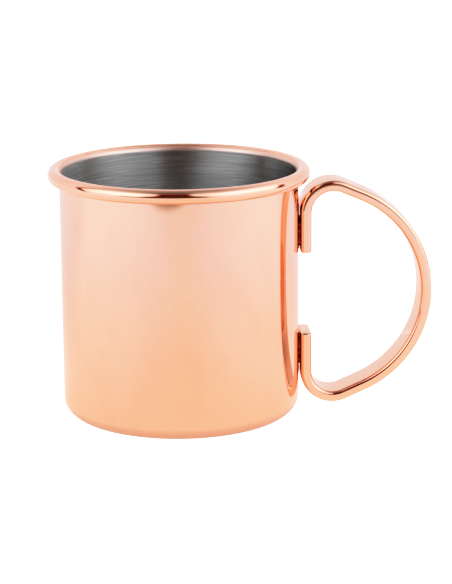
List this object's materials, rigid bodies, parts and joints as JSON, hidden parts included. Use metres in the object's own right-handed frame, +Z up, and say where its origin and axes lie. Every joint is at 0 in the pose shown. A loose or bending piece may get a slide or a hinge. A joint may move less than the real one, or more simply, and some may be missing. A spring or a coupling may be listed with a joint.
{
  "type": "mug",
  "caption": "Straight-sided drinking mug of polished copper with a rolled rim, a brushed steel liner and a bent flat-bar D handle.",
  "frame": {"origin": "centre of the flat base, on the surface the mug stands on", "axes": "+Z up along the cup's axis, +X from the cup's axis through the handle, +Y completes the right-handed frame"},
  "size_m": [0.1368, 0.0932, 0.0898],
  "materials": {
    "copper": "mirror-polished copper",
    "steel": "stainless steel brushed around the inside",
    "braze": "dull copper-coloured braze filler"
  },
  "bodies": {
    "root": {"copper_cup": "copper", "steel_liner": "steel", "handle": "copper", "upper_braze_seam": "braze", "lower_braze_seam": "braze"}
  },
  "joints": []
}
